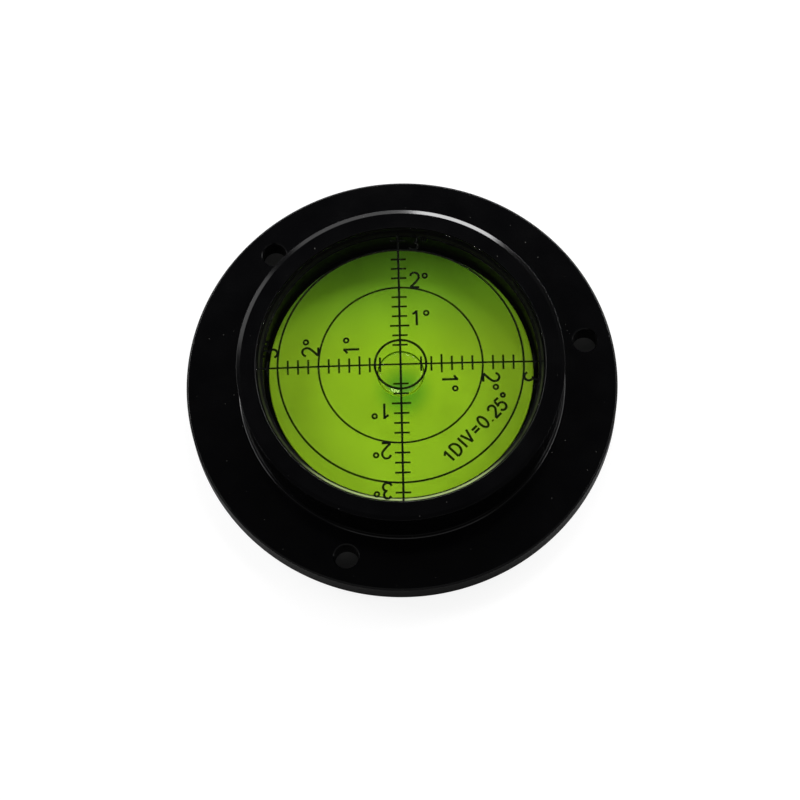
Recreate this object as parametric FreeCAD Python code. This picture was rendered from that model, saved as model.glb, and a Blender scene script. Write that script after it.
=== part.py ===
import FreeCAD, Part
import math
import os

# Bullseye level: a circular spirit level in a turned, black anodised aluminium housing.
# Units are millimetres. The origin is the centre of the housing's flat back face, +Z is the
# housing's axis, and the arms of the printed cross lie along X and Y.
# The housing is turned from one bar: a flange with three screw holes, a barrel, a bore for
# the cover glass and, below a narrow ledge, the chamber that holds the spirit.

# Chamber in the housing, and the white disc on its floor
chamber_diameter = 50.5
chamber_depth = 7.4
chamber_corner_radius = 0.8
chamber_floor_thickness = 6.2
floor_disc_thickness = 1.2
floor_disc_clearance = 0.05

# Barrel round the chamber
ledge_width = 1.25
rim_wall = 3.5
rim_bevel_width = 0.72
rim_bevel_drop = 0.17
bore_edge_break = 0.12
barrel_foot_radius = 0.4

# Flange and its screw holes
flange_width = 10.0
flange_thickness = 5.0
flange_edge_break = 0.3
screw_hole_diameter = 4.5
screw_hole_count = 3
screw_hole_setback = 5.0
screw_hole_first_angle = 12.0
screw_hole_edge_break = 0.2

# Cover glass: flat on top, ground to a hollow sphere below
cover_edge_thickness = 2.0
cover_clearance = 0.1
cover_recess = 0.15
cover_edge_chamfer = 0.2
seal_thickness = 0.25
seal_setback = 0.3
seal_width = 0.65

# Graticule: engraved in the underside of the cover and filled with dark ink.
# One division is a quarter of a degree of tilt.
division_angle = 0.25
division_count = 13
scale_margin = 0.875
circle_divisions = (2.5, 8.0, 12.0)
circle_line_widths = (0.36, 0.28, 0.3)
cross_line_width = 0.3
cross_end_margin = 0.25
tick_line_width = 0.27
tick_length = 2.8
long_tick_length = 3.55
long_tick_divisions = (4,)
untouched_divisions = (1, 8, 12)
engraving_depth = 0.05

# Bubble, which lies a little to the near side of the centre
bubble_diameter = 8.8
bubble_height = 2.4
bubble_edge_radius = 0.9
bubble_offset = 1.6

# Filler port in the back, opening beside the floor disc, and the set screw that closes it
filler_screw_diameter = 3.0
filler_screw_length = 4.0
filler_screw_recess = 0.3
filler_screw_clearance = 0.02
filler_screw_chamfer = 0.3
filler_key_width = 1.5
filler_key_depth = 1.5
filler_port_diameter = 0.6
filler_angle = 72.0

# Radii and levels that follow from the sizes above
chamber_radius = chamber_diameter / 2.0
bore_radius = chamber_radius + ledge_width
barrel_radius = bore_radius + rim_wall
flange_radius = barrel_radius + flange_width
screw_circle_radius = barrel_radius + screw_hole_setback
cover_radius = bore_radius - cover_clearance
floor_disc_radius = chamber_radius - chamber_corner_radius - floor_disc_clearance
seal_inner_radius = chamber_radius + seal_setback
seal_outer_radius = seal_inner_radius + seal_width

floor_disc_top = chamber_floor_thickness + floor_disc_thickness
ledge_level = chamber_floor_thickness + chamber_depth
cover_seat_level = ledge_level + seal_thickness
cover_top = cover_seat_level + cover_edge_thickness
housing_height = cover_top + cover_recess

division_pitch = (chamber_radius - scale_margin) / division_count
glass_curvature_radius = division_pitch / math.tan(math.radians(division_angle))
glass_rise = glass_curvature_radius - math.sqrt(glass_curvature_radius ** 2 - chamber_radius ** 2)
filler_circle_radius = chamber_radius - chamber_corner_radius / 2.0
filler_hole_depth = filler_screw_recess + filler_screw_length

AXIS = FreeCAD.Vector(0, 0, 1)
ORIGIN = FreeCAD.Vector(0, 0, 0)


def point(radius, level):
    """A point of a turned profile: distance from the axis and height."""
    return FreeCAD.Vector(radius, 0, level)


def polar(radius, angle, level=0.0):
    """A point at an angle in degrees round the axis."""
    turn = math.radians(angle)
    return FreeCAD.Vector(radius * math.cos(turn), radius * math.sin(turn), level)


def line(start, end):
    return Part.LineSegment(start, end).toShape()


def arc(start, middle, end):
    return Part.Arc(start, middle, end).toShape()


def corner_middle(centre_radius, centre_level, radius, angle):
    """The point of a profile's corner arc at an angle in degrees above the outward direction."""
    turn = math.radians(angle)
    return point(centre_radius + radius * math.cos(turn), centre_level + radius * math.sin(turn))


def turned(edges):
    """A full turn of a closed profile about the axis, whichever way the profile runs."""
    face = Part.Face(Part.Wire(Part.sortEdges(edges)[0]))
    solid = face.revolve(ORIGIN, AXIS, 360)
    return solid if solid.Volume > 0 else solid.reversed()


def chain(points):
    """Straight edges from each point to the next."""
    return [line(points[i], points[i + 1]) for i in range(len(points) - 1)]


def cylinder(radius, low, high, at=ORIGIN):
    return Part.makeCylinder(radius, high - low, FreeCAD.Vector(at.x, at.y, low), AXIS)


def ring(inner, outer, low, high):
    return cylinder(outer, low, high).cut(cylinder(inner, low, high))


def countersunk_cutter(radius, low, high, edge_break, at):
    """A drill through low to high that also breaks the edge at both ends."""
    cutter = cylinder(radius, low, high, at)
    wide = radius + edge_break
    for level, first, last in ((low, wide, radius), (high - edge_break, radius, wide)):
        base = FreeCAD.Vector(at.x, at.y, level)
        cutter = cutter.fuse(Part.makeCone(first, last, edge_break, base, AXIS))
    return cutter


def underside_edges(level):
    """The cover's underside from its rim to the axis: a flat land, then the hollow sphere."""
    land_end = point(chamber_radius, level)
    apex = point(0, level + glass_rise)
    half_angle = math.asin(chamber_radius / glass_curvature_radius) / 2.0
    centre_level = level + glass_rise - glass_curvature_radius
    middle = point(glass_curvature_radius * math.sin(half_angle),
                   centre_level + glass_curvature_radius * math.cos(half_angle))
    return [line(point(cover_radius, level), land_end), arc(land_end, middle, apex)]


def chamber_edges(top_level):
    """The chamber's wall from top_level down to its floor, with the tool's corner radius."""
    corner_radius = chamber_radius - chamber_corner_radius
    corner_level = chamber_floor_thickness + chamber_corner_radius
    wall_foot = point(chamber_radius, corner_level)
    floor_start = point(corner_radius, chamber_floor_thickness)
    middle = corner_middle(corner_radius, corner_level, chamber_corner_radius, -45)
    edges = [line(point(chamber_radius, top_level), wall_foot), arc(wall_foot, middle, floor_start)]
    return edges, floor_start


def make_housing():
    """One turned piece with the screw holes and the filler port drilled in it."""
    foot_radius = barrel_radius + barrel_foot_radius
    foot_level = flange_thickness + barrel_foot_radius
    foot_start = point(foot_radius, flange_thickness)
    foot_end = point(barrel_radius, foot_level)
    foot_middle = corner_middle(foot_radius, foot_level, barrel_foot_radius, 225)
    below = chain([point(0, 0),
                   point(flange_radius - flange_edge_break, 0),
                   point(flange_radius, flange_edge_break),
                   point(flange_radius, flange_thickness - flange_edge_break),
                   point(flange_radius - flange_edge_break, flange_thickness),
                   foot_start])
    above = chain([foot_end,
                   point(barrel_radius, housing_height - rim_bevel_drop),
                   point(barrel_radius - rim_bevel_width, housing_height),
                   point(bore_radius + bore_edge_break, housing_height),
                   point(bore_radius, housing_height - bore_edge_break),
                   point(bore_radius, ledge_level),
                   point(chamber_radius, ledge_level)])
    chamber, floor_start = chamber_edges(ledge_level)
    closing = chain([floor_start, point(0, chamber_floor_thickness), point(0, 0)])
    body = turned(below + [arc(foot_start, foot_middle, foot_end)] + above + chamber + closing)
    for i in range(screw_hole_count):
        angle = screw_hole_first_angle + 360.0 * i / screw_hole_count
        body = body.cut(countersunk_cutter(screw_hole_diameter / 2.0, 0.0, flange_thickness,
                                           screw_hole_edge_break, polar(screw_circle_radius, angle)))
    at = polar(filler_circle_radius, filler_angle)
    body = body.cut(cylinder(filler_screw_diameter / 2.0, 0.0, filler_hole_depth, at))
    return body.cut(cylinder(filler_port_diameter / 2.0, 0.0, floor_disc_top, at))


def make_filler_screw():
    """A set screw with a hexagon socket, its tip at the bottom of its hole."""
    radius = filler_screw_diameter / 2.0 - filler_screw_clearance
    chamfer = filler_screw_chamfer
    low = filler_screw_recess
    high = filler_hole_depth
    body = turned(chain([point(0, low),
                         point(radius - chamfer, low),
                         point(radius, low + chamfer),
                         point(radius, high - chamfer),
                         point(radius - chamfer, high),
                         point(0, high),
                         point(0, low)]))
    corner_radius = filler_key_width / math.sqrt(3.0)
    corners = [polar(corner_radius, 60.0 * i, low) for i in range(7)]
    key = Part.Face(Part.makePolygon(corners)).extrude(FreeCAD.Vector(0, 0, filler_key_depth))
    screw = body.cut(key)
    screw.translate(polar(filler_circle_radius, filler_angle))
    return screw


def make_floor_disc():
    return cylinder(floor_disc_radius, chamber_floor_thickness, floor_disc_top)


def make_cover_seal():
    return ring(seal_inner_radius, seal_outer_radius, ledge_level, cover_seat_level)


def below_underside(rise):
    """Everything below the cover's underside, moved up by rise."""
    edges = underside_edges(cover_seat_level)
    edges += chain([point(0, cover_seat_level + glass_rise),
                    point(0, chamber_floor_thickness),
                    point(cover_radius, chamber_floor_thickness),
                    point(cover_radius, cover_seat_level)])
    solid = turned(edges)
    solid.translate(FreeCAD.Vector(0, 0, rise))
    return solid


def bar(length, width, centre_x, centre_y, low, high):
    corner = FreeCAD.Vector(centre_x - length / 2.0, centre_y - width / 2.0, low)
    return Part.makeBox(length, width, high - low, corner)


def make_graticule():
    """The lines as upright walls, trimmed to a thin layer that follows the underside."""
    low = cover_seat_level - engraving_depth
    high = cover_seat_level + glass_rise + 2.0 * engraving_depth
    reach = 2.0 * (cover_radius - cross_end_margin)
    walls = [bar(reach, cross_line_width, 0, 0, low, high),
             bar(cross_line_width, reach, 0, 0, low, high)]
    for divisions, width in zip(circle_divisions, circle_line_widths):
        radius = divisions * division_pitch
        walls.append(ring(radius - width / 2.0, radius + width / 2.0, low, high))
    for n in range(1, division_count + 1):
        if n in untouched_divisions:
            continue
        length = long_tick_length if n in long_tick_divisions else tick_length
        for side in (-1, 1):
            place = side * n * division_pitch
            walls.append(bar(tick_line_width, length, place, 0, low, high))
            walls.append(bar(length, tick_line_width, 0, place, low, high))
    pattern = walls[0].multiFuse(walls[1:])
    layer = below_underside(engraving_depth).cut(below_underside(0))
    return pattern.common(layer)


def make_cover_glass(graticule):
    """A plano-concave disc, less the engraved lines."""
    edges = underside_edges(cover_seat_level)
    edges += chain([point(0, cover_seat_level + glass_rise),
                    point(0, cover_top),
                    point(cover_radius - cover_edge_chamfer, cover_top),
                    point(cover_radius, cover_top - cover_edge_chamfer),
                    point(cover_radius, cover_seat_level)])
    return turned(edges).cut(graticule)


def make_bubble():
    """The space of the bubble: flat against the glass, a round edge and a shallow spherical belly.

    The belly's sphere touches the edge's circle, which sets its radius.
    """
    edge_centre = bubble_diameter / 2.0 - bubble_edge_radius
    top = cover_seat_level + glass_rise
    edge_level = top - bubble_edge_radius
    depth = bubble_height - bubble_edge_radius
    belly_radius = (edge_centre ** 2 + depth ** 2 - bubble_edge_radius ** 2) / (
        2.0 * (depth - bubble_edge_radius))
    belly_centre = top - bubble_height + belly_radius
    belly_angle = math.degrees(math.asin(edge_centre / (belly_radius - bubble_edge_radius)))
    crown = point(edge_centre, top)
    equator = corner_middle(edge_centre, edge_level, bubble_edge_radius, 0)
    touch = corner_middle(0, belly_centre, belly_radius, belly_angle - 90)
    belly_middle = corner_middle(0, belly_centre, belly_radius, belly_angle / 2.0 - 90)
    bottom = point(0, top - bubble_height)
    overshoot = point(edge_centre, top + engraving_depth)
    axis_top = point(0, top + engraving_depth)
    solid = turned([arc(crown, equator, touch), arc(touch, belly_middle, bottom),
                    line(crown, overshoot), line(overshoot, axis_top), line(axis_top, bottom)])
    solid.translate(FreeCAD.Vector(0, -bubble_offset, 0))
    return solid


def make_spirit_fluid():
    """What fills the chamber above and round the floor disc, less the bubble."""
    under = underside_edges(cover_seat_level)[1]
    chamber, floor_start = chamber_edges(ledge_level)
    edges = [under]
    edges += chain([point(0, cover_seat_level + glass_rise),
                    point(0, chamber_floor_thickness),
                    floor_start])
    edges += chamber
    edges += chain([point(chamber_radius, ledge_level),
                    point(seal_inner_radius, ledge_level),
                    point(seal_inner_radius, cover_seat_level),
                    point(chamber_radius, cover_seat_level)])
    at = polar(filler_circle_radius, filler_angle)
    port = cylinder(filler_port_diameter / 2.0, filler_hole_depth, floor_disc_top, at)
    body = turned(edges).fuse(port)
    return body.cut(make_floor_disc()).cut(make_bubble())


graticule = make_graticule()
nodes = {
    "housing": make_housing(),
    "floor_disc": make_floor_disc(),
    "cover_seal": make_cover_seal(),
    "cover_glass": make_cover_glass(graticule),
    "graticule": graticule,
    "spirit_fluid": make_spirit_fluid(),
    "filler_screw": make_filler_screw(),
}

os.makedirs("parts", exist_ok=True)
for name, shape in nodes.items():
    shape.exportStep(os.path.join("parts", name + ".step"))
    box = shape.BoundBox
    print(name, "solids", len(shape.Solids), "valid", shape.isValid(), "volume", round(shape.Volume, 3),
          "z", round(box.ZMin, 3), round(box.ZMax, 3))
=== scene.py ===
# %% [markdown]
# # Bullseye level
# A round spirit level in a black flanged housing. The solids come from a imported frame, and this
# lesson dresses them: each piece is a surface worked out with numpy, and each finish is a small
# tree of shader nodes. First the frame is loaded and its box is measured, because nothing made
# below may grow past it.

# %% Load the frame
import bpy
import math
import numpy as np
from mathutils import Matrix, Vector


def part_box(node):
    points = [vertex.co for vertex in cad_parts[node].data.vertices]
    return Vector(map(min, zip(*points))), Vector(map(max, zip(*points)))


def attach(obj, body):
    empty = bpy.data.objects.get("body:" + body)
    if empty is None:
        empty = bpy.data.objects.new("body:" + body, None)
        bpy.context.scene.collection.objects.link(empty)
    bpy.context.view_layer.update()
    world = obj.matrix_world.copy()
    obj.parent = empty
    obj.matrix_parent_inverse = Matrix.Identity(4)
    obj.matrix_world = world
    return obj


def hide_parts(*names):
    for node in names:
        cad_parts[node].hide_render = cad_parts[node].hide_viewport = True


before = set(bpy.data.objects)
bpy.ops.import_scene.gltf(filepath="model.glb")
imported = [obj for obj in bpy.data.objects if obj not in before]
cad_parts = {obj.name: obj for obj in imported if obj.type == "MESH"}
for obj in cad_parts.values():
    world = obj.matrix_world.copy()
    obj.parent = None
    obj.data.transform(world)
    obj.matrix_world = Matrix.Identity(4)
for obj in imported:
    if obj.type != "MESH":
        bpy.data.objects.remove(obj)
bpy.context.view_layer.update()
print("nodes:", sorted(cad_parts))

# %% [markdown]
# ## Sizes
# Levels are read from the boxes of the solids, so the looks follow the construction. Radii that
# a box doesn't give are named here. Everything is in metres, and MM turns millimetres to metres.

# %% Sizes from the frame
MM = 0.001


def box(node):
    """The lowest and highest corner of a solid, as two arrays."""
    low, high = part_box(node)
    return np.array(low), np.array(high)


housing_low, housing_high = box("housing")
glass_low, glass_high = box("cover_glass")
seal_low, seal_high = box("cover_seal")
disc_low, disc_high = box("floor_disc")
screw_low, screw_high = box("filler_screw")

FLANGE_R = housing_high[0]
TOP = housing_high[2]
GLASS_R = glass_high[0]
GLASS_TOP = glass_high[2]
SEAT = glass_low[2]
SEAL_R = seal_high[0]
LEDGE = seal_low[2]
DISC_R = disc_high[0]
DISC_TOP = disc_high[2]
CHAMBER_FLOOR = disc_low[2]

BARREL_R = 30.0 * MM
BORE_R = 26.5 * MM
CHAMBER_R = 25.25 * MM
SEAL_INNER_R = 25.5 * MM
FLANGE_T = 5.0 * MM
CORNER_R = 0.8 * MM
BEVEL_WIDTH = 0.72 * MM
BEVEL_DROP = 0.17 * MM
HOLE_R = 2.25 * MM
HOLE_CIRCLE_R = 35.0 * MM
HOLE_ANGLES = np.radians([12.0, 132.0, 252.0])
PITCH = 1.875 * MM
CURVATURE_R = PITCH / math.tan(math.radians(0.25))
print("flange", round(2 * FLANGE_R / MM, 2), "mm across, top at", round(TOP / MM, 2), "mm")

# %% [markdown]
# ## Surfaces from numpy
# A turned piece is a profile swept round the axis: a point of the mesh is a function of two
# parameters, the place on the profile and the turn. The profile's corners are rounded by arcs,
# with a support point beside each arc, so that smooth shading leaves the flats flat.

# %% Profiles
SEGMENTS = 288
TURNS = np.linspace(0.0, 2.0 * math.pi, SEGMENTS, endpoint=False)


def rounded(corners, radii, steps=5):
    """A profile with its corners rounded.

    Each corner P with radius q is replaced by the arc that touches both sides: it starts q times
    the tangent of half the turn before P and ends as far after it. Its points are the centre
    plus q times the unit vectors between the two touching directions. A corner of radius 0 stays.
    """
    corners = np.asarray(corners, float)
    out = [corners[:1]]
    for before, corner, after, radius in zip(corners[:-2], corners[1:-1], corners[2:], radii):
        if radius == 0.0:
            out.append(corner[None])
            continue
        into = (corner - before) / np.linalg.norm(corner - before)
        away = (after - corner) / np.linalg.norm(after - corner)
        turn = math.acos(np.clip(into @ away, -1.0, 1.0))
        setback = radius * math.tan(turn / 2.0)
        start, end = corner - into * setback, corner + away * setback
        middle = (away - into) / np.linalg.norm(away - into)
        centre = corner + middle * radius / math.cos(turn / 2.0)
        share = np.linspace(0.0, 1.0, steps + 1)[:, None]
        spokes = ((start - centre) * np.sin((1.0 - share) * turn)
                  + (end - centre) * np.sin(share * turn)) / math.sin(turn)
        room = min(np.linalg.norm(start - before), np.linalg.norm(after - end)) / 3.0
        support = min(0.25 * radius, room)
        out += [(start - into * support)[None], centre + spokes, (end + away * support)[None]]
    out.append(corners[-1:])
    return np.concatenate(out)


def make_object(name, points, faces):
    """A mesh object at the origin from an array of points and a list of faces."""
    mesh = bpy.data.meshes.new(name)
    mesh.from_pydata(points.tolist(), [], faces)
    mesh.validate()
    obj = bpy.data.objects.new(name, mesh)
    bpy.context.collection.objects.link(obj)
    return obj


def shade(obj, angle=32.0):
    """Smooth shading, kept sharp where faces meet at more than the angle in degrees."""
    mesh = obj.data
    mesh.polygons.foreach_set("use_smooth", np.ones(len(mesh.polygons), bool))
    mesh.set_sharp_from_angle(angle=math.radians(angle))
    mesh.update()


def skin(name, rings, ends):
    """A closed mesh over a stack of rings: quads between neighbours, and a fan to each end point."""
    count, around = rings.shape[:2]
    points = np.concatenate([rings.reshape(-1, 3), np.array(ends)])
    index = np.arange(count * around).reshape(count, around)
    ahead = np.roll(index, -1, axis=1)
    quads = np.stack([index[:-1], ahead[:-1], ahead[1:], index[1:]], axis=2).reshape(-1, 4)
    first, last = count * around, count * around + 1
    start_fan = np.stack([np.full(around, first), ahead[0], index[0]], axis=1)
    end_fan = np.stack([np.full(around, last), index[-1], ahead[-1]], axis=1)
    return make_object(name, points, quads.tolist() + start_fan.tolist() + end_fan.tolist())


def turned(name, profile, turns=TURNS):
    """A solid of revolution from a profile that starts and ends on the axis.

    The point for profile place (r, h) and turn t is (r cos t, r sin t, h). The two ends are single
    points, so the poles are closed.
    """
    profile = np.asarray(profile, float)
    r, h = profile[1:-1, 0:1], profile[1:-1, 1:2]
    rings = np.stack([r * np.cos(turns), r * np.sin(turns), h + 0.0 * turns], axis=2)
    return skin(name, rings, [[0.0, 0.0, profile[0, 1]], [0.0, 0.0, profile[-1, 1]]])


def ring(name, profile, turns=TURNS):
    """A ring from a closed profile that stays clear of the axis, by the same formula."""
    profile = np.asarray(profile, float)
    r, h = profile[:, 0:1], profile[:, 1:2]
    rings = np.stack([r * np.cos(turns), r * np.sin(turns), h + 0.0 * turns], axis=2)
    count, around = rings.shape[:2]
    index = np.arange(count * around).reshape(count, around)
    ahead = np.roll(index, -1, axis=1)
    below, below_ahead = np.roll(index, -1, axis=0), np.roll(ahead, -1, axis=0)
    quads = np.stack([index, ahead, below_ahead, below], axis=2).reshape(-1, 4)
    return make_object(name, rings.reshape(-1, 3), quads.tolist())


def shift(obj, offset):
    """Adds an offset to every point of a mesh, so that its object stays at the origin."""
    points = np.empty(3 * len(obj.data.vertices))
    obj.data.vertices.foreach_get("co", points)
    obj.data.vertices.foreach_set("co", (points.reshape(-1, 3) + offset).ravel())
    return obj


print("profiles are swept round the axis in", SEGMENTS, "steps")

# %% [markdown]
# ## Finishes
# A finish is a tree of nodes. One function adds any node, sets its values and links its inputs,
# and one function turns a hex colour as seen on a screen into the linear numbers that shaders use.
# A node that does sums is added like any other, with its two inputs numbered 0 and 1.

# %% Node and colour helpers


def linear(colour, alpha=1.0):
    """sRGB hex to linear: each channel c is c/12.92 when small, else ((c+0.055)/1.055)^2.4."""
    channels = np.array([int(colour[i:i + 2], 16) for i in (1, 3, 5)]) / 255.0
    low, high = channels / 12.92, ((channels + 0.055) / 1.055) ** 2.4
    return tuple(np.where(channels <= 0.04045, low, high)) + (alpha,)


def add(tree, kind, inputs=None, **settings):
    """Adds one node. Settings are its properties, and an input is a socket to link or a value."""
    node = tree.nodes.new(kind)
    for key, value in settings.items():
        setattr(node, key, value)
    for key, value in (inputs or {}).items():
        if isinstance(value, bpy.types.NodeSocket):
            tree.links.new(value, node.inputs[key])
        else:
            node.inputs[key].default_value = value
    return node


def finish(name):
    """An empty material, its tree and its output node."""
    material = bpy.data.materials.new(name)
    material.use_nodes = True
    tree = material.node_tree
    tree.nodes.clear()
    return material, tree, add(tree, "ShaderNodeOutputMaterial")


print("middle grey is", round(linear("#808080")[0], 3), "in linear light")

# %% [markdown]
# ## Camera
# The photograph looks down at 71 degrees from about 0.6 m, and the level lies turned a little in
# it. The camera is placed by those angles: its back vector points from the level to the lens, and
# its right and up vectors are rolled about that line.

# %% Camera
ELEVATION = math.radians(71.17)
AZIMUTH = math.radians(2.6)
ROLL = 0.070
DISTANCE = 600.5 * MM
TARGET = np.array([-0.48, -1.77, 0.0]) * MM
FOCAL_PIXELS = 3215.1
IMAGE_PIXELS = 800
SENSOR_MM = 36.0

back = np.array([math.sin(AZIMUTH) * math.cos(ELEVATION),
                 -math.cos(AZIMUTH) * math.cos(ELEVATION),
                 math.sin(ELEVATION)])
right = np.array([math.cos(AZIMUTH), math.sin(AZIMUTH), 0.0])
up = np.cross(back, right)
rolled_right = right * math.cos(ROLL) - up * math.sin(ROLL)
rolled_up = right * math.sin(ROLL) + up * math.cos(ROLL)

camera_data = bpy.data.cameras.new("camera")
camera_data.sensor_width = SENSOR_MM
camera_data.lens = FOCAL_PIXELS / IMAGE_PIXELS * SENSOR_MM
camera_data.clip_start = 0.01
camera = bpy.data.objects.new("camera", camera_data)
bpy.context.collection.objects.link(camera)
place = np.eye(4)
place[:3, 0], place[:3, 1], place[:3, 2] = rolled_right, rolled_up, back
place[:3, 3] = TARGET + back * DISTANCE
camera.matrix_world = Matrix(place.tolist())
bpy.context.scene.camera = camera
print("lens", round(camera_data.lens, 1), "mm at", round(DISTANCE, 3), "m")

# %% [markdown]
# ## Housing
# The housing is turned from aluminium bar, drilled and black anodised. Its profile is swept once
# round the axis. Three drills are then taken away with a Boolean, as on the real piece. The
# rim has a wide, shallow bevel that catches the light, and every other edge is only broken.

# %% Housing shape
EDGE = 0.08 * MM
BREAK = 0.3 * MM
FOOT_R = 0.4 * MM

housing_corners = np.array([
    [0.0, 0.0],
    [FLANGE_R - BREAK, 0.0],
    [FLANGE_R, BREAK],
    [FLANGE_R, FLANGE_T - BREAK],
    [FLANGE_R - BREAK, FLANGE_T],
    [BARREL_R, FLANGE_T],
    [BARREL_R, TOP - BEVEL_DROP],
    [BARREL_R - BEVEL_WIDTH, TOP],
    [BORE_R + EDGE, TOP],
    [BORE_R, TOP - EDGE],
    [BORE_R, LEDGE],
    [CHAMBER_R, LEDGE],
    [CHAMBER_R, CHAMBER_FLOOR],
    [0.0, CHAMBER_FLOOR]])
BEVEL_OUTER_R = 0.03 * MM
BEVEL_INNER_R = 0.1 * MM
BORE_EDGE_R = 0.02 * MM
LEDGE_EDGE_R = 0.05 * MM
housing_radii = [EDGE, EDGE, EDGE, EDGE, FOOT_R, BEVEL_OUTER_R, BEVEL_INNER_R, BORE_EDGE_R,
                 BORE_EDGE_R, 0.0, LEDGE_EDGE_R, CORNER_R]
housing = turned("housing_turned", rounded(housing_corners, housing_radii))


def drill(radius, x, y, low, high, edge_break=0.0, blind=False, around=72):
    """A drill at (x, y) that breaks the hole's edges: its profile widens at 45 degrees there."""
    reach = 1.0 * MM
    wide = radius + edge_break + reach
    profile = [[0.0, low - reach], [wide, low - reach], [radius, low + edge_break]]
    if blind:
        profile += [[radius, high], [0.0, high]]
    else:
        profile += [[radius, high - edge_break], [wide, high + reach], [0.0, high + reach]]
    cutter = turned("drill", profile, np.linspace(0.0, 2.0 * math.pi, around, endpoint=False))
    return shift(cutter, [x, y, 0.0])


def cut_away(obj, cutter):
    """Takes the cutter away from the object with a Boolean, then drops the cutter."""
    modifier = obj.modifiers.new("cut", "BOOLEAN")
    modifier.operation = "DIFFERENCE"
    modifier.solver = "EXACT"
    modifier.object = cutter
    depsgraph = bpy.context.evaluated_depsgraph_get()
    mesh = bpy.data.meshes.new_from_object(obj.evaluated_get(depsgraph))
    obj.modifiers.clear()
    obj.data = mesh
    bpy.data.objects.remove(cutter)


HOLE_BREAK = 0.2 * MM
for angle in HOLE_ANGLES:
    x, y = HOLE_CIRCLE_R * math.cos(angle), HOLE_CIRCLE_R * math.sin(angle)
    cut_away(housing, drill(HOLE_R, x, y, 0.0, FLANGE_T, HOLE_BREAK))
SCREW_HOLE_R = 1.5 * MM
PORT_R = 0.3 * MM
SCREW_X, SCREW_Y = (screw_low[:2] + screw_high[:2]) / 2.0
cut_away(housing, drill(SCREW_HOLE_R, SCREW_X, SCREW_Y, 0.0, screw_high[2], blind=True))
cut_away(housing, drill(PORT_R, SCREW_X, SCREW_Y, screw_high[2], DISC_TOP, blind=True, around=24))
shade(housing)
print("housing:", len(housing.data.polygons), "faces")

# %% [markdown]
# ## White disc, seal and cover glass
# The disc on the chamber's floor is opal plastic, and the seal is a thin flat ring on the ledge.
# The cover is one lens: flat on top and hollow below, where the curve of the sphere sets how far
# the bubble runs for each degree. The seal's top is let into the glass by a hair, because two
# surfaces in the same place would flicker in the render.

# %% Disc, seal and cover glass shapes
HAIR = 0.02 * MM


def underside(radius):
    """Height of the glass above a radius: a sphere's drop from its apex, then a flat land."""
    rise = math.sqrt(CURVATURE_R ** 2 - CHAMBER_R ** 2)
    drop = np.sqrt(CURVATURE_R ** 2 - np.minimum(radius, CHAMBER_R) ** 2) - rise
    return SEAT + drop


disc = turned("opal_disc", rounded(
    [[0.0, CHAMBER_FLOOR], [DISC_R, CHAMBER_FLOOR], [DISC_R, DISC_TOP], [0.0, DISC_TOP]],
    [0.05 * MM, 0.15 * MM]))
shade(disc)

seal = ring("seal_ring", [[SEAL_INNER_R, LEDGE], [SEAL_R, LEDGE], [SEAL_R, SEAT + HAIR],
                          [SEAL_INNER_R, SEAT + HAIR]])
shade(seal)

GLASS_CHAMFER = 0.05 * MM
GLASS_EDGE = 0.02 * MM
under_r = np.linspace(0.0, CHAMBER_R, 28)
under_profile = np.stack([under_r, underside(under_r)], axis=1)
glass_side = rounded([[CHAMBER_R, SEAT], [GLASS_R, SEAT], [GLASS_R, GLASS_TOP - GLASS_CHAMFER],
                      [GLASS_R - GLASS_CHAMFER, GLASS_TOP], [0.0, GLASS_TOP]],
                     [0.0, GLASS_EDGE, GLASS_EDGE])
glass = turned("cover_lens", np.concatenate([under_profile[:-1], glass_side]))
shade(glass)
print("glass is", round((GLASS_TOP - underside(0.0)) / MM, 2), "mm thick at its centre")

# %% [markdown]
# ## Spirit and bubble
# The spirit fills the chamber from the glass down to the disc and into the groove round it. Its
# surface runs a hair into the housing and the disc, so light meets no thin gap of air there. The
# bubble is a drop of air pressed flat against the glass, with a round edge and a shallow belly
# like a lens. It lies 1.6 mm to the near side, a fifth of a degree off level.

# %% Spirit and bubble shapes
BUBBLE_R = 4.4 * MM
BUBBLE_H = 2.4 * MM
BUBBLE_EDGE_R = 0.9 * MM
BUBBLE_OFFSET = 1.6 * MM

WALL_R = CHAMBER_R + HAIR
top_r = np.linspace(0.0, SEAL_INNER_R, 28)
spirit_top = np.stack([top_r, underside(top_r) - HAIR], axis=1)[::-1]
spirit_low = rounded([[0.0, DISC_TOP - HAIR], [DISC_R - HAIR, DISC_TOP - HAIR],
                      [DISC_R - HAIR, CHAMBER_FLOOR - HAIR], [WALL_R, CHAMBER_FLOOR - HAIR],
                      [WALL_R, LEDGE - HAIR], [SEAL_INNER_R + HAIR, LEDGE - HAIR],
                      [SEAL_INNER_R + HAIR, SEAT - HAIR], [SEAL_INNER_R, SEAT - HAIR]],
                     [0.0, 0.0, CORNER_R - 0.05 * MM, 0.0, 0.0, 0.0])
spirit = turned("green_spirit", np.concatenate([spirit_low[:-1], spirit_top]))
shade(spirit)


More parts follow.
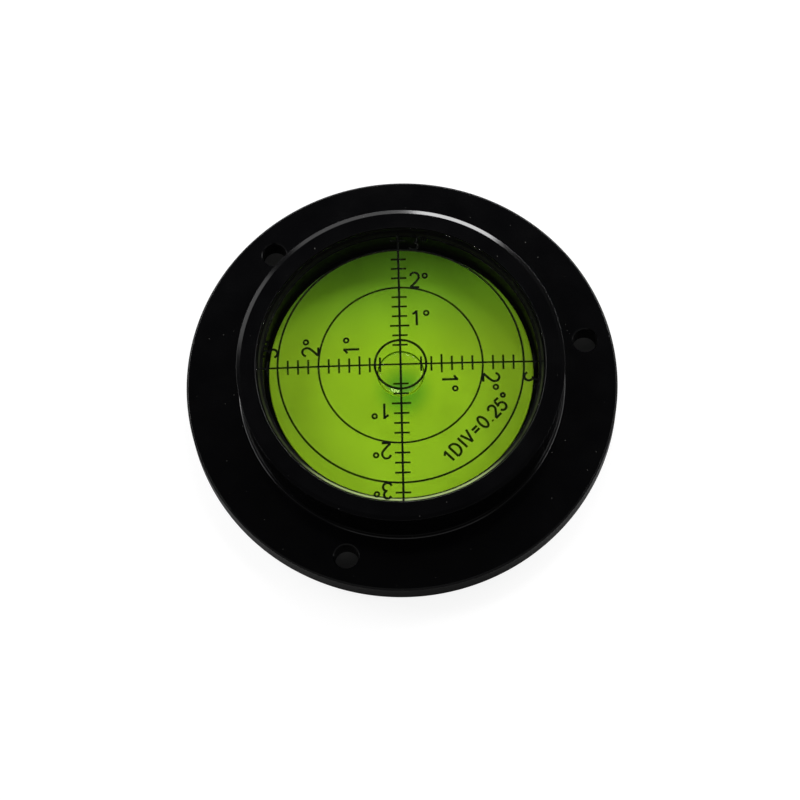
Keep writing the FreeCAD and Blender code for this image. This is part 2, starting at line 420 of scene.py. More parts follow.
def bubble_profile(count=28):
    """Belly: a sphere (Q sin t, -Q cos t) from its pole to where it touches the edge's circle.

    Edge: (c + e cos t, e sin t) from there round to the top. With c = R - e and the belly's pole
    d below the circle's centre, the two touch when Q = (c^2 + d^2 - e^2) / (2 (d - e)).
    """
    top = underside(0.0) - 2.0 * HAIR
    c, d = BUBBLE_R - BUBBLE_EDGE_R, BUBBLE_H - BUBBLE_EDGE_R
    belly_r = (c ** 2 + d ** 2 - BUBBLE_EDGE_R ** 2) / (2.0 * (d - BUBBLE_EDGE_R))
    touch = math.asin(c / (belly_r - BUBBLE_EDGE_R))
    t = np.linspace(0.0, touch, count)
    belly = np.stack([belly_r * np.sin(t), top - BUBBLE_H + belly_r * (1.0 - np.cos(t))], axis=1)
    t = np.linspace(touch - math.pi / 2.0, math.pi / 2.0, 2 * count)[1:]
    edge = np.stack([c + BUBBLE_EDGE_R * np.cos(t),
                     top - BUBBLE_EDGE_R + BUBBLE_EDGE_R * np.sin(t)], axis=1)
    r = np.linspace(c, 0.0, 8)[1:]
    return np.concatenate([belly, edge, np.stack([r, 0.0 * r + top], axis=1)])


BUBBLE_TURNS = np.linspace(0.0, 2.0 * math.pi, 144, endpoint=False)
bubble = shift(turned("air_bubble", bubble_profile(), BUBBLE_TURNS), [0.0, -BUBBLE_OFFSET, 0.0])
shade(bubble, 60.0)
print("spirit is", round((underside(0.0) - DISC_TOP) / MM, 2), "mm deep at the centre")

# %% [markdown]
# ## Graticule
# The scale is engraved in the underside of the glass and filled with dark ink. Every line is the
# same thing, a path with a width, so one function makes them all: it carries a thin section along
# the path and drops each point onto the glass. The numerals are paths too, drawn as an engraver's
# single strokes. Each arm carries 1, 2 and 3 degrees, and the fine lines are quarters of a degree.
# No fine line is drawn at the first division or where a larger circle crosses the arm.

# %% Lines that follow the glass
INK_LOW = 1.5 * HAIR
INK_HIGH = 2.5 * HAIR
CROSS_WIDTHS = {0.0: 0.33 * MM, math.pi / 2.0: 0.40 * MM}
TICK_W = 0.35 * MM
CIRCLE_WIDTHS = {2.5: 0.42 * MM, 8.0: 0.34 * MM, 12.0: 0.36 * MM}
TICK_L = 2.8 * MM
LONG_TICK_L = 3.55 * MM
ARM_END = GLASS_R - 0.25 * MM
UNTICKED = (1, 8, 12)


def stroke(path, width, closed=False):
    """Points and faces of a line of ink along a path.

    At each place the path's own normal n gives the two sides, p - n w/2 and p + n w/2. Each side
    has a low and a high point, the height of the glass there plus the ink's two levels, so the
    section is a closed ring of four points carried from the path's start to its end.
    """
    path = np.asarray(path, float)
    if closed:
        along = np.roll(path, -1, axis=0) - np.roll(path, 1, axis=0)
    else:
        along = np.gradient(path, axis=0)
    along /= np.linalg.norm(along, axis=1)[:, None]
    normal = np.stack([-along[:, 1], along[:, 0]], axis=1)
    sides = np.stack([path - normal * width / 2.0, path + normal * width / 2.0], axis=1)
    level = underside(np.linalg.norm(sides, axis=2))
    low = np.concatenate([sides, (level + INK_LOW)[..., None]], axis=2)
    high = np.concatenate([sides, (level + INK_HIGH)[..., None]], axis=2)
    section = np.stack([low[:, 0], low[:, 1], high[:, 1], high[:, 0]], axis=1)
    count = len(path)
    index = np.arange(4 * count).reshape(count, 4)
    ahead = np.roll(index, -1, axis=0) if closed else index[1:]
    index = index if closed else index[:-1]
    side = np.roll(index, -1, axis=1)
    side_ahead = np.roll(ahead, -1, axis=1)
    faces = np.stack([index, side, side_ahead, ahead], axis=2).reshape(-1, 4).tolist()
    if not closed:
        faces += [[3, 2, 1, 0], (np.arange(4) + 4 * (count - 1)).tolist()]
    return section.reshape(-1, 3), faces


def join(name, strokes):
    """One object from many strokes, their faces renumbered by the points before them."""
    points, faces, offset = [], [], 0
    for stroke_points, stroke_faces in strokes:
        points.append(stroke_points)
        faces += [[i + offset for i in face] for face in stroke_faces]
        offset += len(stroke_points)
    return make_object(name, np.concatenate(points), faces)


def segment(start, end, count=24):
    """A straight path: start plus a share of the way to the end."""
    share = np.linspace(0.0, 1.0, count)[:, None]
    return np.asarray(start) * (1.0 - share) + np.asarray(end) * share


def circle(radius, count=288):
    """A closed path round the axis: (R cos t, R sin t)."""
    t = np.linspace(0.0, 2.0 * math.pi, count, endpoint=False)
    return radius * np.stack([np.cos(t), np.sin(t)], axis=1)


def turn_path(path, angle):
    """A path turned about the axis: x cos a - y sin a, x sin a + y cos a."""
    c, s = math.cos(angle), math.sin(angle)
    return path @ np.array([[c, s], [-s, c]])


QUARTERS = [i * math.pi / 2.0 for i in range(4)]
DIVISIONS = 13
LONG_AT = 4
ARM = segment([-ARM_END, 0.0], [ARM_END, 0.0], 120)
lines = [stroke(turn_path(ARM, angle), width) for angle, width in CROSS_WIDTHS.items()]
lines += [stroke(circle(n * PITCH), width, closed=True) for n, width in CIRCLE_WIDTHS.items()]
for n in range(1, DIVISIONS + 1):
    if n in UNTICKED:
        continue
    half = (LONG_TICK_L if n == LONG_AT else TICK_L) / 2.0
    tick = segment([-half, n * PITCH], [half, n * PITCH], 8)
    lines += [stroke(turn_path(tick, angle), TICK_W) for angle in QUARTERS]
graticule = join("graticule_lines", lines)
shade(graticule)
print("graticule:", len(lines), "lines,", len(graticule.data.polygons), "faces")

# %% [markdown]
# ## Numerals
# Each glyph is a few paths in a box one unit high: straight runs, and arcs of ellipses. A line of
# text is the glyphs set side by side, scaled, turned and moved to its place on the dial. The
# legend in the corner says what one division is worth.

# %% A single-stroke alphabet


def arc(centre, size, start, end, count=16):
    """Part of an ellipse: centre plus (a cos t, b sin t), with t from start to end in degrees."""
    t = np.radians(np.linspace(start, end, count))
    return np.stack([centre[0] + size[0] * np.cos(t), centre[1] + size[1] * np.sin(t)], axis=1)


def bend(start, pull, end, count=10):
    """A quadratic curve: (1-s)^2 start + 2 s (1-s) pull + s^2 end."""
    s = np.linspace(0.0, 1.0, count)[:, None]
    start, pull, end = np.array(start), np.array(pull), np.array(end)
    return (1 - s) ** 2 * start + 2 * s * (1 - s) * pull + s ** 2 * end


def run(*corners):
    """Straight runs between corners, with points close to each corner so that it stays sharp."""
    pieces = [segment(a, b, 6) for a, b in zip(corners[:-1], corners[1:])]
    return np.concatenate(pieces)


GLYPHS = {
    "0": (0.64, [arc((0.32, 0.5), (0.26, 0.5), 90.0, 450.0, 33)]),
    "1": (0.64, [run((0.38, 1.0), (0.38, 0.0)), bend((0.38, 0.98), (0.30, 0.83), (0.12, 0.76))]),
    "2": (0.64, [np.concatenate([arc((0.31, 0.71), (0.27, 0.29), 168.0, -32.0),
                                 bend((0.52, 0.53), (0.36, 0.31), (0.06, 0.03))[1:]]),
                 run((0.03, 0.0), (0.60, 0.0))]),
    "3": (0.64, [np.concatenate([arc((0.30, 0.755), (0.22, 0.245), 160.0, -90.0),
                                 arc((0.30, 0.265), (0.27, 0.265), 80.0, -165.0)])]),
    "5": (0.64, [run((0.54, 1.0), (0.14, 1.0)), run((0.15, 1.0), (0.08, 0.50)),
                 arc((0.29, 0.32), (0.29, 0.32), 137.0, -160.0, 24)]),
    "D": (0.78, [run((0.08, 0.0), (0.08, 1.0)), run((0.08, 1.0), (0.30, 1.0)),
                 run((0.08, 0.0), (0.30, 0.0)), arc((0.28, 0.5), (0.38, 0.5), 90.0, -90.0, 20)]),
    "I": (0.30, [run((0.15, 1.0), (0.15, 0.0))]),
    "V": (0.70, [run((0.03, 1.0), (0.34, 0.0)), run((0.34, 0.0), (0.65, 1.0))]),
    "=": (0.72, [run((0.10, 0.36), (0.62, 0.36)), run((0.10, 0.64), (0.62, 0.64))]),
    ".": (0.32, [run((0.16, 0.0), (0.16, 0.10))]),
    "°": (0.46, [arc((0.20, 0.88), (0.14, 0.14), 0.0, 360.0, 25)]),
}
LETTER_GAP = 0.14
LEGEND_GAP = 0.11


def text_paths(text, height, centre, angle=0.0, gap=LETTER_GAP):
    """The paths of a line of text about its centre.

    Each glyph point is moved along by the widths before it, scaled by the height, turned by the
    angle and moved to the centre.
    """
    paths, along = [], 0.0
    for letter in text:
        width, strokes = GLYPHS[letter]
        paths += [path + [along, 0.0] for path in strokes]
        along += width + gap
    middle = np.array([(along - gap) / 2.0, 0.5])
    return [turn_path((path - middle) * height, angle) + centre for path in paths]


NUMERAL_H = 1.56 * PITCH
NUMERAL_W = 0.42 * MM
LEGEND_H = 1.3 * PITCH
LEGEND_W = 0.42 * MM
RING_R = 0.22 * PITCH
RING_W = 0.36 * MM
# Each row is a numeral, its foot and its middle, and its degree ring's middle, in divisions.
DEGREES = ((1, 4.0, 1.58, 2.62, 5.26), (2, 8.0, 1.56, 2.56, 9.20), (3, 12.0, 1.56, 2.56, 13.1))
lettering = []
for value, base, digit_x, ring_x, ring_y in DEGREES:
    centre = np.array([digit_x, base]) * PITCH + [0.0, NUMERAL_H / 2.0]
    paths = text_paths(str(value), NUMERAL_H, centre)
    ring_path = circle(RING_R, 32) + np.array([ring_x, ring_y]) * PITCH
    for angle in QUARTERS:
        lettering += [stroke(turn_path(path, angle), NUMERAL_W) for path in paths]
        lettering.append(stroke(turn_path(ring_path, angle), RING_W, closed=True))
LEGEND_CENTRE = np.array([7.3, -6.65]) * PITCH
LEGEND_TURN = math.radians(45.0)
legend_paths = text_paths("1DIV=0.25°", LEGEND_H, LEGEND_CENTRE, LEGEND_TURN, LEGEND_GAP)
lettering += [stroke(path, LEGEND_W) for path in legend_paths]
numerals = join("graticule_numerals", lettering)
shade(numerals)
print("numerals:", len(lettering), "strokes,", len(numerals.data.polygons), "faces")

# %% [markdown]
# ## Filler screw
# The chamber is filled through a port in its floor, which a small set screw shuts. It sits in the
# back, where nothing shows it in use. It is a turned plug with a thread on its side and a
# hexagon socket, and the thread is a ridge whose radius follows a wave along the screw.

# %% Filler screw shape
SCREW_R = (screw_high[0] - screw_low[0]) / 2.0
SCREW_L = screw_high[2] - screw_low[2]
SOCKET_ACROSS = 1.5 * MM
SOCKET_DEPTH = 1.5 * MM
SOCKET_POINT = 0.3 * MM
THREAD_PITCH = 0.5 * MM
THREAD_DEPTH = 0.16 * MM
SCREW_CHAMFER = 0.3 * MM


def set_screw(around=72, rows=96):
    """The side is r = R - d (1 - cos(2 pi (h/p - t/2pi)))/2, one ridge that climbs a pitch a turn.

    Near both ends the radius is held under a cone at 45 degrees, the screw's chamfers.
    """
    t = np.linspace(0.0, 2.0 * math.pi, around, endpoint=False)[None, :]
    h = np.linspace(0.0, SCREW_L, rows)[:, None]
    ridge = 0.5 - 0.5 * np.cos(2.0 * math.pi * h / THREAD_PITCH - t)
    r = SCREW_R - THREAD_DEPTH * ridge
    to_end = np.minimum(h, SCREW_L - h)
    r = np.minimum(r, SCREW_R - SCREW_CHAMFER + to_end)
    rings = np.stack([SCREW_X + r * np.cos(t), SCREW_Y + r * np.sin(t),
                      screw_low[2] + h + 0.0 * t], axis=2)
    ends = [[SCREW_X, SCREW_Y, screw_low[2]], [SCREW_X, SCREW_Y, screw_high[2]]]
    return skin("filler_set_screw", rings, ends)


screw = set_screw()
SOCKET_R = SOCKET_ACROSS / math.sqrt(3.0)
key_profile = [[0.0, -1.0 * MM], [SOCKET_R, -1.0 * MM], [SOCKET_R, SOCKET_DEPTH],
               [0.0, SOCKET_DEPTH + SOCKET_POINT]]
hexagon = turned("hex_key", key_profile, np.radians(np.arange(30.0, 390.0, 60.0)))
cut_away(screw, shift(hexagon, [SCREW_X, SCREW_Y, screw_low[2]]))
shade(screw, 40.0)
print("filler screw:", len(screw.data.polygons), "faces")

# %% [markdown]
# ## Black anodised aluminium
# The housing is aluminium with a dyed oxide skin. The dye makes it a very dark neutral, and the
# skin is a clear, slightly rough layer, so it shines like a dielectric and not like bare metal.
# The bar was turned, which leaves fine circles, and the skin has a fine etched grain. Dust shows
# on it as sparse pale specks. Everything is driven by Object coordinates in real millimetres.

# %% Anodised finish
BLACK_TONES = ("#020203", "#060607")
CLOUD = 6.0 * MM
ETCHING = 0.25 * MM
TURNING_PITCH = 0.35 * MM
TURNING_SHARE = 0.25
DUST_TONE = "#8a8a84"
DUST_SPACING = 2.2 * MM
DUST_PATCHES = 3.1 * MM
DUST_SIZE = 0.11
DUST_LEAST = 0.018
DUST_COVER = 0.22
BEVEL_ROUGHNESS = 0.12
BUMP_ON_FLATS = 0.25
BUMP_ON_BEVEL = 0.02


def distance_from_axis(tree, place):
    """The length of the position once its height is multiplied by 0."""
    flat = add(tree, "ShaderNodeVectorMath", {0: place, 1: (1.0, 1.0, 0.0)}, operation="MULTIPLY")
    return add(tree, "ShaderNodeVectorMath", {0: flat.outputs[0]}, operation="LENGTH").outputs[1]


def anodised(name, roughness=0.13, shine=0.5):
    """Dyed oxide on turned bar: cloudy black, pale dust, and the tool's circles as fine relief.

    The circles are sin(2 pi r / pitch), one crest each pitch from the axis outwards. On the bevel
    the relief is nearly gone, since the bevel mirrors the lamps as a clean bright stretch.
    """
    material, tree, output = finish(name)
    place = add(tree, "ShaderNodeTexCoord").outputs["Object"]
    radius = distance_from_axis(tree, place)
    level = add(tree, "ShaderNodeSeparateXYZ", {0: place}).outputs["Z"]
    outside = add(tree, "ShaderNodeMath", {0: radius, 1: BARREL_R - BEVEL_WIDTH},
                  operation="GREATER_THAN").outputs[0]
    above = add(tree, "ShaderNodeMath", {0: level, 1: TOP - BEVEL_DROP - 0.01 * MM},
                operation="GREATER_THAN").outputs[0]
    on_bevel = add(tree, "ShaderNodeMath", {0: outside, 1: above}, operation="MULTIPLY").outputs[0]

    cloud = add(tree, "ShaderNodeTexNoise",
                {"Vector": place, "Scale": 1.0 / CLOUD, "Detail": 3.0}).outputs["Fac"]
    tone = add(tree, "ShaderNodeMix", {"Factor": cloud, "A": linear(BLACK_TONES[0]),
                                       "B": linear(BLACK_TONES[1])}, data_type="RGBA")
    speck = add(tree, "ShaderNodeTexVoronoi", {"Vector": place, "Scale": 1.0 / DUST_SPACING})
    size = add(tree, "ShaderNodeTexNoise", {"Vector": place, "Scale": 1.0 / DUST_PATCHES})
    limit = add(tree, "ShaderNodeMath", {0: size.outputs["Fac"], 1: DUST_SIZE}, operation="MULTIPLY")
    limit = add(tree, "ShaderNodeMath", {0: limit.outputs[0], 1: DUST_LEAST}, operation="SUBTRACT")
    dust = add(tree, "ShaderNodeMath", {0: speck.outputs["Distance"], 1: limit.outputs[0]},
               operation="LESS_THAN")
    dust = add(tree, "ShaderNodeMath", {0: dust.outputs[0], 1: DUST_COVER}, operation="MULTIPLY")
    dusty = add(tree, "ShaderNodeMix", {"Factor": dust.outputs[0], "A": tone.outputs["Result"],
                                        "B": linear(DUST_TONE)}, data_type="RGBA")

    etched = add(tree, "ShaderNodeTexNoise", {"Vector": place, "Scale": 1.0 / ETCHING, "Detail": 2.0})
    turns = add(tree, "ShaderNodeMath", {0: radius, 1: 2.0 * math.pi / TURNING_PITCH},
                operation="MULTIPLY")
    marks = add(tree, "ShaderNodeMath", {0: turns.outputs[0]}, operation="SINE")
    marks = add(tree, "ShaderNodeMath", {0: marks.outputs[0], 1: TURNING_SHARE}, operation="MULTIPLY")
    height = add(tree, "ShaderNodeMath", {0: marks.outputs[0], 1: etched.outputs["Fac"]},
                 operation="ADD")
    strength = add(tree, "ShaderNodeMix", {"Factor": on_bevel, "A": BUMP_ON_FLATS,
                                           "B": BUMP_ON_BEVEL}, data_type="FLOAT")
    bump = add(tree, "ShaderNodeBump", {"Height": height.outputs[0], "Distance": 0.01 * MM,
                                        "Strength": strength.outputs["Result"]})
    rough = add(tree, "ShaderNodeMapRange", {"Value": cloud, "To Min": roughness - 0.04,
                                             "To Max": roughness + 0.05})
    rough = add(tree, "ShaderNodeMix", {"Factor": on_bevel, "A": rough.outputs["Result"],
                                        "B": BEVEL_ROUGHNESS}, data_type="FLOAT")
    shader = add(tree, "ShaderNodeBsdfPrincipled",
                 {"Base Color": dusty.outputs["Result"], "Roughness": rough.outputs["Result"],
                  "Normal": bump.outputs["Normal"], "Specular IOR Level": shine})
    tree.links.new(shader.outputs[0], output.inputs["Surface"])
    return material


def facets(obj, what):
    """One value per face of a mesh, such as its normal or its centre, as rows of three numbers."""
    values = np.empty(3 * len(obj.data.polygons))
    obj.data.polygons.foreach_get(what, values)
    return values.reshape(-1, 3)


black_anodised = anodised("black_anodised_aluminium")
housing.data.materials.append(black_anodised)
housing.data.materials.append(anodised("anodised_under_spirit", roughness=0.5, shine=0.08))
centres = facets(housing, "center")
wetted = ((np.hypot(centres[:, 0], centres[:, 1]) < BORE_R - HAIR)
          & (centres[:, 2] > CHAMBER_FLOOR - HAIR) & (centres[:, 2] < LEDGE + HAIR))
housing.data.polygons.foreach_set("material_index", wetted.astype(np.int32))
print("housing finish:", len(black_anodised.node_tree.nodes), "nodes;", int(wetted.sum()), "faces wetted")

# %% [markdown]
# ## Opal plastic, silicone and printing ink
# The disc is opal acrylic, a soft white that scatters light back through the spirit, with a soft spot of
# painted shade under the bubble and a painted greener tint towards the far wall. The seal is a silicone
# compound run in by hand: a dark smear with a pale bead, whose paleness is painted light, full on the
# near side where light falls and almost none on the far side. The ink in the engraving is a dark enamel.

# %% Disc, seal and ink finishes
UNDER_GLASS = 0.04
# A soft spot of painted shade on the disc under the bubble, in place of the shade the bubble casts.
PAINTED_SHADE_CENTRE = (0.3 * MM, -3.4 * MM, 0.0)
PAINTED_SHADE_CORE = 1.5 * MM
PAINTED_SHADE_REACH = 6.5 * MM
PAINTED_SHADE_TONE = "#a2cce1"
# Painted light: a greener tone towards the far wall, standing in for light that came a longer way through
# the dye.
PAINTED_FAR_TINT = "#ccf7f9"
PAINTED_TINT_START = 2.0 * MM
PAINTED_TINT_END = 26.0 * MM


def shaded_disc(tree, place, tone):
    """The tone with a painted soft spot of shade under the bubble, and a painted greener tint towards the
    far wall.

    The spot is painted shade for the bubble keeping light off the disc below it. The far tint is painted
    light, for light that has come a longer way through the dye, which takes out more red than green.
    """
    # Painted light: the tone turns greener towards the far wall.
    along = add(tree, "ShaderNodeSeparateXYZ", {0: place}).outputs["Y"]
    far = add(tree, "ShaderNodeMapRange", {"Value": along, "From Min": PAINTED_TINT_START, "From Max": PAINTED_TINT_END},
              interpolation_type="SMOOTHSTEP")
    tone = add(tree, "ShaderNodeMix", {"Factor": far.outputs[0], "A": tone.outputs["Result"],
                                       "B": linear(PAINTED_FAR_TINT)}, data_type="RGBA")
    # Painted shade: a soft dark spot on the disc under the bubble.
    from_centre = add(tree, "ShaderNodeVectorMath", {0: place, 1: PAINTED_SHADE_CENTRE}, operation="SUBTRACT")
    spot = add(tree, "ShaderNodeMapRange",
               {"Value": distance_from_axis(tree, from_centre.outputs[0]), "From Min": PAINTED_SHADE_CORE,
                "From Max": PAINTED_SHADE_REACH, "To Min": 1.0, "To Max": 0.0},
               interpolation_type="SMOOTHSTEP")
    return add(tree, "ShaderNodeMix", {"Factor": spot.outputs[0], "A": tone.outputs["Result"],
                                       "B": linear(PAINTED_SHADE_TONE)}, data_type="RGBA")


def plain_finish(name, low, high, grain, roughness, relief, painted_shade_by=None):
    """A finish whose tone, roughness and height follow one noise of a real grain size.

    These surfaces meet spirit or glass and not air, so almost nothing shines on them.
    """
    material, tree, output = finish(name)
    place = add(tree, "ShaderNodeTexCoord").outputs["Object"]
    noise = add(tree, "ShaderNodeTexNoise",
                {"Vector": place, "Scale": 1.0 / grain, "Detail": 4.0}).outputs["Fac"]
    tone = add(tree, "ShaderNodeMix", {"Factor": noise, "A": linear(low), "B": linear(high)},
               data_type="RGBA")
    # A shade function, if given, paints shade and light into the tone.
    if painted_shade_by:
        tone = painted_shade_by(tree, place, tone)
    rough = add(tree, "ShaderNodeMapRange", {"Value": noise, "To Min": roughness - 0.05,
                                             "To Max": roughness + 0.05})
    bump = add(tree, "ShaderNodeBump", {"Height": noise, "Strength": relief, "Distance": 0.02 * MM})
    shader = add(tree, "ShaderNodeBsdfPrincipled",
                 {"Base Color": tone.outputs["Result"], "Roughness": rough.outputs["Result"],
                  "Normal": bump.outputs["Normal"], "Specular IOR Level": UNDER_GLASS})
    tree.links.new(shader.outputs[0], output.inputs["Surface"])
    return material


BEAD_R = 25.95 * MM
BEAD_HALF = 0.14 * MM
BEAD_FADE = 0.08 * MM
BEAD_INSET = 0.23 * MM
BEAD_REACH = 25.0 * MM
# The bead's paleness is painted light: full on the near side, where light falls on it, fading to almost
# none on the far side, in shade.
NEAR_LIT_ALONG = (-23.0 * MM, -16.5 * MM)
FAR_DIM_ALONG = (-16.0 * MM, 8.0 * MM)
FAR_DIM_PALENESS = (0.22, 0.03)
SMEAR_TONE = "#0b0d09"
# The pale bead's tone, shown at full strength where the painted light is full.
LIT_BEAD_TONE = "#a2b676"


def uneven_bead(name):
    """Seal compound: a dark smear on the ledge with a pale bead, whose paleness is painted light.

    The bead runs at the radius R - i (y / 25 mm)^2, so it draws in by the inset i at both ends of the
    dial. Its paleness is painted light that falls along y, from full at the near side, where light falls
    on it, to almost none at the far one, which is in shade.
    """
    material, tree, output = finish(name)
    place = add(tree, "ShaderNodeTexCoord").outputs["Object"]
    along = add(tree, "ShaderNodeSeparateXYZ", {0: place}).outputs["Y"]
    share = add(tree, "ShaderNodeMath", {0: along, 1: 1.0 / BEAD_REACH}, operation="MULTIPLY")
    square = add(tree, "ShaderNodeMath", {0: share.outputs[0], 1: share.outputs[0]},
                 operation="MULTIPLY")
    inset = add(tree, "ShaderNodeMath", {0: square.outputs[0], 1: BEAD_INSET}, operation="MULTIPLY")
    placed = add(tree, "ShaderNodeMath", {0: distance_from_axis(tree, place), 1: inset.outputs[0]},
                 operation="ADD")
    off = add(tree, "ShaderNodeMath", {0: placed.outputs[0], 1: BEAD_R}, operation="SUBTRACT")
    off = add(tree, "ShaderNodeMath", {0: off.outputs[0]}, operation="ABSOLUTE")
    bead = add(tree, "ShaderNodeMapRange",
               {"Value": off.outputs[0], "From Min": BEAD_HALF, "From Max": BEAD_HALF + BEAD_FADE,
                "To Min": 1.0, "To Max": 0.0}, interpolation_type="SMOOTHSTEP")
    # Painted light: the bead is fully pale on the near side.
    thick = add(tree, "ShaderNodeMapRange",
                {"Value": along, "From Min": NEAR_LIT_ALONG[0], "From Max": NEAR_LIT_ALONG[1],
                 "To Min": 1.0, "To Max": 0.0}, interpolation_type="SMOOTHSTEP")
    # Painted light: elsewhere the bead's paleness fades along y towards the far side, with patches of
    # noise.
    thin = add(tree, "ShaderNodeMapRange",
               {"Value": along, "From Min": FAR_DIM_ALONG[0], "From Max": FAR_DIM_ALONG[1],
                "To Min": FAR_DIM_PALENESS[0], "To Max": FAR_DIM_PALENESS[1]})
    patches = add(tree, "ShaderNodeTexNoise",
                  {"Vector": place, "Scale": 1.0 / (3.0 * MM), "Detail": 3.0}).outputs["Fac"]
    thin = add(tree, "ShaderNodeMath", {0: thin.outputs[0], 1: patches}, operation="MULTIPLY")
    either = add(tree, "ShaderNodeMath", {0: thick.outputs[0], 1: thin.outputs[0]},
                 operation="MAXIMUM")
    pale = add(tree, "ShaderNodeMath", {0: bead.outputs[0], 1: either.outputs[0]},
               operation="MULTIPLY")
    tone = add(tree, "ShaderNodeMix", {"Factor": pale.outputs[0], "A": linear(SMEAR_TONE),
                                       "B": linear(LIT_BEAD_TONE)}, data_type="RGBA")
    bump = add(tree, "ShaderNodeBump", {"Height": patches, "Strength": 0.3, "Distance": 0.02 * MM})
    shader = add(tree, "ShaderNodeBsdfPrincipled",
                 {"Base Color": tone.outputs["Result"], "Normal": bump.outputs["Normal"],
                  "Roughness": 0.5, "Specular IOR Level": UNDER_GLASS})
    tree.links.new(shader.outputs[0], output.inputs["Surface"])
    return material


# The disc's finish has a painted spot of shade under the bubble and a painted greener tint towards the
# far wall.
opal_acrylic = plain_finish("opal_acrylic", "#f0f0ec", "#f6f6f3", 8.0 * MM, 0.45, 0.05, shaded_disc)
# The seal's bead carries painted light, pale on the near side and dark on the far one.
silicone = uneven_bead("silicone_seal")
enamel_ink = plain_finish("dark_enamel_ink", "#020302", "#050704", 0.5 * MM, 0.6, 0.1)
disc.data.materials.append(opal_acrylic)
seal.data.materials.append(silicone)
graticule.data.materials.append(enamel_ink)
numerals.data.materials.append(enamel_ink)
print("disc, seal and ink have their finishes")

# %% [markdown]
# ## Glass, spirit and air
# Where glass and spirit touch there is one surface and not two, so three rules keep the light
# honest. The cover's top bends light as glass does. Its underside bends nothing, because the
# spirit's own top stands just below it and bends light by the ratio of spirit to glass. The
# bubble bends it by the ratio of air to spirit. The cover's ground edge is dull and stands in dark
# sealant. The dye is in the depth of the spirit and absorbs red and blue along the light's path.

# %% Clear finishes
GLASS_IOR = 1.50
SPIRIT_IOR = 1.36
DYE_TONE = "#deef45"
DYE_DENSITY = 230.0
HAZE = 9.0 * MM


def lets_light_in(tree, output, shader):
    """Puts a Transparent shader in for light on its way to the disc.

    Rays from lamps, and rays that leave a matt surface, then go straight through, so the light
    arrives with little noise.
    """
    rays = add(tree, "ShaderNodeLightPath").outputs
    lit = add(tree, "ShaderNodeMath", {0: rays["Is Shadow Ray"], 1: rays["Is Diffuse Ray"]},
              operation="MAXIMUM")
    passing = add(tree, "ShaderNodeBsdfTransparent")
    mix = add(tree, "ShaderNodeMixShader", {0: lit.outputs[0], 1: shader.outputs[0],
                                            2: passing.outputs[0]})
    tree.links.new(mix.outputs[0], output.inputs["Surface"])


def polished_glass():
    """Ground and polished crown glass: clear, with the faintest haze in a few patches."""
    material, tree, output = finish("polished_cover_glass")
    place = add(tree, "ShaderNodeTexCoord").outputs["Object"]
    haze = add(tree, "ShaderNodeTexNoise", {"Vector": place, "Scale": 1.0 / HAZE, "Detail": 3.0})
    rough = add(tree, "ShaderNodeMapRange", {"Value": haze.outputs["Fac"], "From Min": 0.55,
                                             "From Max": 0.9, "To Min": 0.0, "To Max": 0.03})
    shader = add(tree, "ShaderNodeBsdfPrincipled",
                 {"Base Color": linear("#ffffff"), "Roughness": rough.outputs["Result"],
                  "Transmission Weight": 1.0, "IOR": GLASS_IOR})
    lets_light_in(tree, output, shader)
    return material


def open_face():
    """The cover's underside, where the spirit's own top does the bending."""
    material, tree, output = finish("glass_meets_spirit")
    shader = add(tree, "ShaderNodeBsdfTransparent")
    tree.links.new(shader.outputs[0], output.inputs["Surface"])
    return material


def dyed_spirit():
    """Alcohol with a yellow-green dye, which absorbs light along its way through the depth."""
    material, tree, output = finish("dyed_green_spirit")
    shader = add(tree, "ShaderNodeBsdfGlass", {"IOR": SPIRIT_IOR / GLASS_IOR, "Roughness": 0.0})
    lets_light_in(tree, output, shader)
    dye = add(tree, "ShaderNodeVolumeAbsorption", {"Color": linear(DYE_TONE), "Density": DYE_DENSITY})
    tree.links.new(dye.outputs[0], output.inputs["Volume"])
    return material


def air_in_spirit():
    """The bubble's skin, which bends light from spirit into air."""
    material, tree, output = finish("air_in_spirit")
    shader = add(tree, "ShaderNodeBsdfGlass", {"IOR": 1.0 / SPIRIT_IOR, "Roughness": 0.0})
    lets_light_in(tree, output, shader)
    return material


glass.data.materials.append(polished_glass())
glass.data.materials.append(open_face())
glass.data.materials.append(
    plain_finish("ground_edge_in_sealant", "#0a0c08", "#14160f", 0.5 * MM, 0.6, 0.1))
FACES_UP = 0.9
facing = facets(glass, "normal")[:, 2]
underneath = (facing < -FACES_UP) & (facets(glass, "center")[:, 2] < SEAT + 1.0 * MM)
on_edge = np.abs(facing) < FACES_UP
glass.data.polygons.foreach_set("material_index", (underneath + 2 * on_edge).astype(np.int32))
spirit.data.materials.append(dyed_spirit())
bubble.data.materials.append(air_in_spirit())
print("open faces under the glass:", int(underneath.sum()))

# %% [markdown]
# ## Steel set screw
# Stainless steel, turned and then tumbled: a metal of mid roughness with a fine scratchy grain.

# %% Steel finish
STEEL_TONES = ("#a3a19d", "#c4c2be")
STEEL_GRAIN = 0.3 * MM


